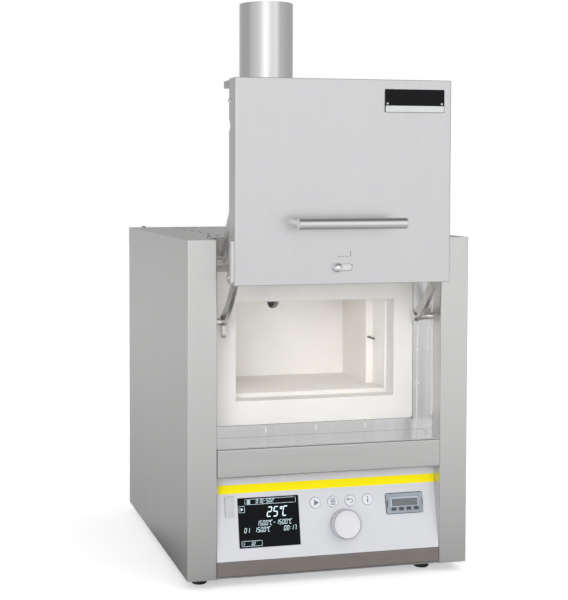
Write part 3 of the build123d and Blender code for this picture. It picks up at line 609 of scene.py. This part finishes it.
def flatRing(radius, thickness, high, steps=64):
    clearSelection()
    bpy.ops.mesh.primitive_torus_add(major_segments=steps, minor_segments=8, major_radius=radius,
                                     minor_radius=thickness / 2)
    ring = bpy.context.object
    pick(ring, "VERT", lambda at: True)
    bpy.ops.transform.resize(value=(1, 1, high * 2 / thickness))
    bpy.ops.object.mode_set(mode="OBJECT")
    smooth(ring, 60)
    return ring


# The display's lit figures and frames. Places and boxes are shares of the display, from its upper left corner.
# A row is its text, its lower left corner, its height and the thickness of its lines.

display = {"left": -122.7, "top": 79.8, "width": 83, "height": 64, "lift": 0.43, "line": 0.35,
           "rows": (("010-502", 0.30, 0.114, 5.0, 0.50), ("25oC", 0.47, 0.395, 12.0, 1.35),
                    ("1500oC-1500oC", 0.295, 0.562, 5.8, 0.55), ("01", 0.09, 0.692, 5.6, 0.55),
                    ("1500oC", 0.255, 0.692, 5.8, 0.55), ("00:17", 0.735, 0.692, 5.8, 0.55)),
           "boxes": ((0.12, 0.138, 0.83, 0.105), (0.02, 0.29, 0.09, 0.125), (0.04, 0.965, 0.33, 0.105)),
           "list": {"place": (0.15, 0.057), "step": 0.021, "rows": 4, "long": 4.6, "thick": 2},
           "chevron": {"place": (0.07, 0.915), "wide": 1.4, "half": 1.5, "thick": 1.4},
           "program": ("02", 0.20, 0.945, 4.0, 0.45), "arrow": {"place": (0.062, 0.228), "reach": 2.3}}
displaySlope = onPanel(0, 0, display["lift"])


def displayPoint(x, y):
    return display["left"] + x * display["width"], display["top"] - y * display["height"]


def displayText(text, x, y, height, thickness):
    return figuresAt(displaySlope, text, *displayPoint(x, y), height, thickness)


def makeDisplay():
    bars = []
    for row in display["rows"]:
        bars += displayText(*row)
    thin = display["line"]
    for left, bottom, width, height in display["boxes"]:
        bars += outline(displaySlope, *displayPoint(left, bottom), width * display["width"],
                        height * display["height"], thin)
    lines, (x, y) = display["list"], display["list"]["place"]
    for row in range(lines["rows"]):
        left, up = displayPoint(x, y + lines["step"] * row)
        bars.append(barAt(displaySlope, (left, up), (left + lines["long"], up), thin * lines["thick"]))
    chevron = display["chevron"]
    left, up = displayPoint(*chevron["place"])
    for side in (1, -1):
        bars.append(barAt(displaySlope, (left, up + side * chevron["half"]), (left + chevron["wide"], up),
                          thin * chevron["thick"]))
    bars += displayText(*display["program"])
    bars.append(arrowhead(displaySlope, displayPoint(*display["arrow"]["place"]), display["arrow"]["reach"]))
    finishPiece(joined(bars, "displayFigures"), "casing", finishes["displayInk"], "black_glass")


makeDisplay()
print("display figures")


# Signs and rims of the four round buttons

buttons = {"up": 68.3, "across": {"button_start": -16.9, "button_menu": 7.5, "button_back": 31.7, "button_info": 56.1},
           "signLift": 1.2, "signSize": 1.5, "rim": (7.35, 0.55, 0.22), "rimLift": 0.05}
signs = {"start": {"place": (0.3, 0), "reach": 3.1},
         "menu": {"half": 2.4, "top": 2.4, "step": 1.2, "rows": 5, "thick": 0.62},
         "back": {"bend": (1.5, 0.3), "flatten": 0.2, "bendAt": (1.0, -0.2, 0), "thick": 0.6,
                  "bars": (((-1.6, 1.3), (1.1, 1.3)), ((-0.6, -1.7), (1.1, -1.7))), "head": ((-2.2, 1.3), 1.5, 180)},
         "info": (((0, -2.6), (0, 1.0), 1.15), ((0, 1.8), (0, 3.1), 1.25))}


def returnSign(base):
    # a bar that runs right, turns round and comes back under an arrowhead
    back = signs["back"]
    radius, half = back["bend"]
    clearSelection()
    bpy.ops.mesh.primitive_torus_add(major_segments=32, minor_segments=8, major_radius=radius, minor_radius=half)
    bend = bpy.context.object
    pick(bend, "VERT", lambda at: True)
    bpy.ops.mesh.bisect(plane_co=(0, 0, 0), plane_no=(1, 0, 0), clear_inner=True, use_fill=True)
    bpy.ops.mesh.select_all(action="SELECT")
    bpy.ops.transform.resize(value=(1, 1, back["flatten"]))
    bpy.ops.object.mode_set(mode="OBJECT")
    placed(bend, base @ Matrix.Translation(back["bendAt"]))
    bars = [barAt(base, start, end, back["thick"]) for start, end in back["bars"]]
    return [bend, *bars, arrowhead(base, *back["head"])]


def makeButtonSigns():
    for name, across in buttons["across"].items():
        face = onPanel(across, buttons["up"], buttons["signLift"]) @ Matrix.Scale(buttons["signSize"], 4)
        if name == "button_start":
            parts = [arrowhead(face, signs["start"]["place"], signs["start"]["reach"])]
        elif name == "button_menu":
            menu = signs["menu"]
            heights = [menu["top"] - menu["step"] * row for row in range(menu["rows"])]
            parts = [barAt(face, (-menu["half"], up), (menu["half"], up), menu["thick"]) for up in heights]
        elif name == "button_back":
            parts = returnSign(face)
        else:
            parts = [barAt(face, *line) for line in signs["info"]]
        finishPiece(joined(parts, name.replace("button_", "") + "Sign"), name, finishes["iconGrey"], "grey_buttons")
    rims = copiesAt(flatRing(*buttons["rim"]),
                    [onPanel(across, buttons["up"], buttons["rimLift"]) for across in buttons["across"].values()])
    finishPiece(joined(rims, "buttonRims"), "casing", finishes["rimGreyAndShade"], "white_film")


makeButtonSigns()
print("button signs")


# The limit controller's window, its frame, the dark clips at its sides and a dark line of painted shade round it

limiterFace = {"centre": (108, 62.6), "frame": (40.4, 13.0, 0.7, 0.8, 0.25), "frameLift": 1.42,
               "pane": (36.4, 9.6, 0.25, 0.5, 0.08), "paneDrop": 0.5, "paneLift": 2.1,
               "clip": (1.3, 8.4, 0.5, 0.3, 0.2), "clipReach": 24.9, "clipUp": 61.2, "clipLift": 2.0,
               # the gap entries draw a dark outline of painted shade round the limiter's base
               "gap": (81.7, 47.2, 52.6, 27.2), "shadeLineThick": 0.7, "shadeLineLift": 0.05}


def makeLimiterFace():
    across, up = limiterFace["centre"]
    surround = placed(plate(*limiterFace["frame"]), onPanel(across, up, limiterFace["frameLift"]),
                      "limiterWindowFrame")
    finishPiece(surround, "casing", finishes["windowFrame"], "blue_grey_plastic")
    pane = placed(plate(*limiterFace["pane"]), onPanel(across, up - limiterFace["paneDrop"], limiterFace["paneLift"]),
                  "limiterWindow")
    finishPiece(pane, "casing", finishes["windowGlass"], "black_glass")
    clipsAndShadeLine = copiesAt(plate(*limiterFace["clip"]),
                     [onPanel(across + side * limiterFace["clipReach"], limiterFace["clipUp"], limiterFace["clipLift"])
                      for side in (-1, 1)])
    # painted shade: a dark outline round the limiter's base, where it stands off the panel
    clipsAndShadeLine += outline(onPanel(0, 0, limiterFace["shadeLineLift"]), *limiterFace["gap"], limiterFace["shadeLineThick"])
    finishPiece(joined(clipsAndShadeLine, "limiterClipsAndShadeLine"), "casing", finishes["clipBlackAndShade"], "blue_grey_plastic")


makeLimiterFace()
print("limit controller's face")


# The broad yellow stripe, the dished dial with a dark band of painted shade at its edge, and dark rings of painted
# shade round the dial and the socket's cover

stripe = {"size": (305.6, 11.2, 0.3), "edge": 0.06, "up": 91.9}
dialAt = (21.7, 38.5)
dialShape = {"radius": 18.8, "height": 10.5, "lift": 1.9, "footBevel": 0.6, "stemHole": 3.4, "stemDepth": 9.4,
             "rings": ((0.5, 0.7), (0.9, 0.1), (0.8, -0.2), (1.0, -0.5), (5.6, -0.4), (6.0, -0.1)),
             # the band is a dark ring of painted shade at the dial's top edge
             "edgeShadeBand": (18.35, 1.1, 0.75, 96), "edgeShadeLift": 12.8}
# dark lines of painted shade round the dial's foot and round the socket's cover
panelGapShade = {"ring": (19.1, 0.6, 0.2, 96), "cover": (-139.95, 56.1, 12.3, 26.5), "coverThick": 0.4, "lift": 0.05}


def dishedDial():
    # a cylinder with a hollow for its stem, a raised rim and a dished face
    floor, high = dialShape["lift"], dialShape["height"]
    clearSelection()
    bpy.ops.mesh.primitive_cylinder_add(vertices=96, radius=dialShape["radius"], depth=high,
                                        location=(0, 0, floor + high / 2))
    piece = settle(bpy.context.object)
    pick(piece, "EDGE", lambda at: at.z < floor + 0.01)
    bpy.ops.mesh.bevel(offset=dialShape["footBevel"], segments=2)
    pick(piece, "FACE", lambda at, normal: normal.z < -0.99)
    bpy.ops.mesh.inset(thickness=dialShape["radius"] - dialShape["footBevel"] - dialShape["stemHole"])
    bpy.ops.mesh.extrude_region_move(TRANSFORM_OT_translate={"value": (0, 0, dialShape["stemDepth"])})
    pick(piece, "FACE", lambda at, normal: normal.z > 0.9 and at.z > floor + high - 0.01)
    for inward, rise in dialShape["rings"]:
        bpy.ops.mesh.inset(thickness=inward, depth=rise)
    bpy.ops.object.mode_set(mode="OBJECT")
    faceOutwards(piece)
    smooth(piece, 40)
    return piece


def makePanelTrim():
    broad = placed(plate(*stripe["size"], edge=stripe["edge"]), onPanel(0, stripe["up"], 0.0), "broadStripe")
    finishPiece(broad, "casing", finishes["yellowFilm"], "yellow_film", "panel_stripe")
    # painted shade: a dark band round the dial's top edge, where its rim is shaded
    edgeShadeBand = placed(flatRing(*dialShape["edgeShadeBand"]), onPanel(*dialAt, dialShape["edgeShadeLift"]), "dialEdgeShade")
    finishPiece(edgeShadeBand, "dial", finishes["rimGreyAndShade"], "white_dial")
    dial = placed(dishedDial(), onPanel(*dialAt, 0), "dishedDial")
    finishPiece(dial, "dial", finishes["dialWhite"], "white_dial", "dial")
    # painted shade: dark lines where the dial and the socket's cover meet the panel
    gapShadeLines = [placed(flatRing(*panelGapShade["ring"]), onPanel(*dialAt, panelGapShade["lift"]))]
    gapShadeLines += outline(onPanel(0, 0, panelGapShade["lift"]), *panelGapShade["cover"], panelGapShade["coverThick"])
    finishPiece(joined(gapShadeLines, "panelGapShade"), "casing", finishes["rimGreyAndShade"], "white_film")


makePanelTrim()
print("stripe, dial and gaps")


# Fine ribs on the socket's cover

coverRibs = {"across": -133.4, "half": 3.6, "lowest": 58.6, "step": 1.1, "count": 4, "thick": 0.42, "high": 0.35,
             "lift": 1.6}


def makeCoverRibs():
    face = onPanel(0, 0, coverRibs["lift"])
    left, right = coverRibs["across"] - coverRibs["half"], coverRibs["across"] + coverRibs["half"]
    ribs = []
    for row in range(coverRibs["count"]):
        up = coverRibs["lowest"] + row * coverRibs["step"]
        ribs.append(barAt(face, (left, up), (right, up), coverRibs["thick"], coverRibs["high"]))
    finishPiece(joined(ribs, "usbCoverRibs"), "usb_cover", finishes["flapPlastic"], "flap_plastic")


makeCoverRibs()
print("ribs on the socket's cover")


# The name plate's pale lower strip, left without words

nameStrip = {"left": 0.0533, "right": 0.1326, "bottom": 0.6124, "top": 0.6204, "thick": 0.25, "corner": 0.8,
             "edge": 0.08, "behind": 0.00005}


def makeNameStrip():
    left, right, bottom, top = (nameStrip[side] for side in ("left", "right", "bottom", "top"))
    strip = plate((right - left) / mm, (top - bottom) / mm, nameStrip["thick"], nameStrip["corner"],
                  nameStrip["edge"])
    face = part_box("name_plate")[0].y
    placed(strip, upright((left + right) / 2, face + nameStrip["behind"], (bottom + top) / 2, mm), "namePlateStrip")
    finishPiece(strip, "door", finishes["paleStrip"], "black_plate")


makeNameStrip()
print("name plate's strip")


# A plain angled mark over the air slot, and caps on the open ends of the door's top rail

airMark = {"dashes": ((-8.4, -5.2), (-3.6, -0.4), (1.2, 4.4)), "dashUp": 430.2,
           "upstroke": ((7.6, 429.6), (7.6, 437.2)), "thick": 0.75, "before": 0.00004}
railCap = {"size": (36.0, 9.1, 1.0, 0.4, 0.2), "centre": (-0.1728, 0.64725), "inside": 0.0011}


def makeDoorMarks():
    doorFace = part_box("name_plate")[1].y
    seat = upright(0, doorFace - airMark["before"], 0, mm)
    bars = [barAt(seat, (left, airMark["dashUp"]), (right, airMark["dashUp"]), airMark["thick"])
            for left, right in airMark["dashes"]]
    bars.append(barAt(seat, *airMark["upstroke"], airMark["thick"]))
    finishPiece(joined(bars, "airSlotMark"), "door", finishes["darkSteel"], "brushed_steel_door")
    low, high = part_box("door_top_rail")
    places = [Matrix.Translation((edge - side * railCap["inside"], *railCap["centre"])) @ turned(90 * side, "Z")
              @ turned(90, "X") @ Matrix.Scale(mm, 4) for side, edge in ((-1, low.x), (1, high.x))]
    caps = copiesAt(plate(*railCap["size"]), places)
    finishPiece(joined(caps, "railCaps"), "door", finishes["zincSheet"], "brushed_steel_door")


makeDoorMarks()
print("door marks and rail caps")


# Bright strips in the slits of the recess wall, and a seam line beside the collar

slits = {"wide": 0.00176, "shape": (0.0012, 0.0003, 0.0001), "behind": 0.0001,
         "sideHeights": (0.245, 0.293, 0.341), "sideFrom": 0.1431, "sideTo": 0.1515,
         "lowAcross": (-0.0705, 0.0005, 0.071), "lowFrom": 0.1863, "lowTo": 0.1948}
seams = {"across": 0.1462, "wide": 0.0012, "shorter": 0.002, "lift": 0.0003, "corner": 0.0001, "edge": 0.0001}


def makeRecessTrim():
    low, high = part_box("fascia_frame")
    depth = high.y - slits["behind"]
    reach = (slits["sideFrom"] + slits["sideTo"]) / 2
    strips = copiesAt(plate(slits["sideTo"] - slits["sideFrom"], slits["wide"], *slits["shape"]),
                      [upright(side * reach, depth, height) for side in (-1, 1) for height in slits["sideHeights"]])
    middle = (slits["lowFrom"] + slits["lowTo"]) / 2
    strips += copiesAt(plate(slits["wide"], slits["lowTo"] - slits["lowFrom"], *slits["shape"]),
                       [upright(across, depth, middle) for across in slits["lowAcross"]])
    finishPiece(joined(strips, "slitStrips"), "casing", finishes["fibre"], "fibre_board")
    seam = plate(seams["wide"], high.z - low.z - seams["shorter"], 2 * seams["lift"], seams["corner"], seams["edge"])
    lines = copiesAt(seam, [upright(side * seams["across"], low.y + seams["lift"], (low.z + high.z) / 2)
                            for side in (-1, 1)])
    finishPiece(joined(lines, "recessSeams"), "casing", finishes["fibre"], "fibre_board")


makeRecessTrim()
print("recess trim")


# Blades in the mains inlet and the marks on its rocker

inlet = {"blades": ((0.1095, 0.042), (0.118, 0.049), (0.1265, 0.042)), "blade": (2.3, 8.3, 17.2, 0.4, 0.5),
         "foot": 0.2316}
rocker = {"across": 0.118, "onFace": (0.25168, 0.0834, 2.75), "onMark": ((0, -1.8), (0, 1.8), 0.8),
          "offFace": (0.25064, 0.0730, -14.75), "offMark": (1.6, 0.6, inkHigh, 32)}


def rockerFace(depth, height, rise):
    # looking at the rocker from behind the furnace
    return (Matrix.Translation((rocker["across"], depth, height)) @ turned(180, "Z") @ turned(90 - rise, "X")
            @ Matrix.Scale(mm, 4))


def makeInletDetails():
    places = [Matrix.Translation((across, inlet["foot"], height)) @ turned(-90, "X") @ Matrix.Scale(mm, 4)
              for across, height in inlet["blades"]]
    finishPiece(joined(copiesAt(plate(*inlet["blade"]), places), "inletBlades"), "casing", finishes["brass"],
                "socket_shell")
    marks = [barAt(rockerFace(*rocker["onFace"]), *rocker["onMark"]),
             placed(flatRing(*rocker["offMark"]), rockerFace(*rocker["offFace"]))]
    finishPiece(joined(marks, "rockerMarks"), "mains_switch", finishes["markWhite"], "rocker_plastic")


makeInletDetails()
print("inlet details")

bpy.data.objects.remove(barModel)
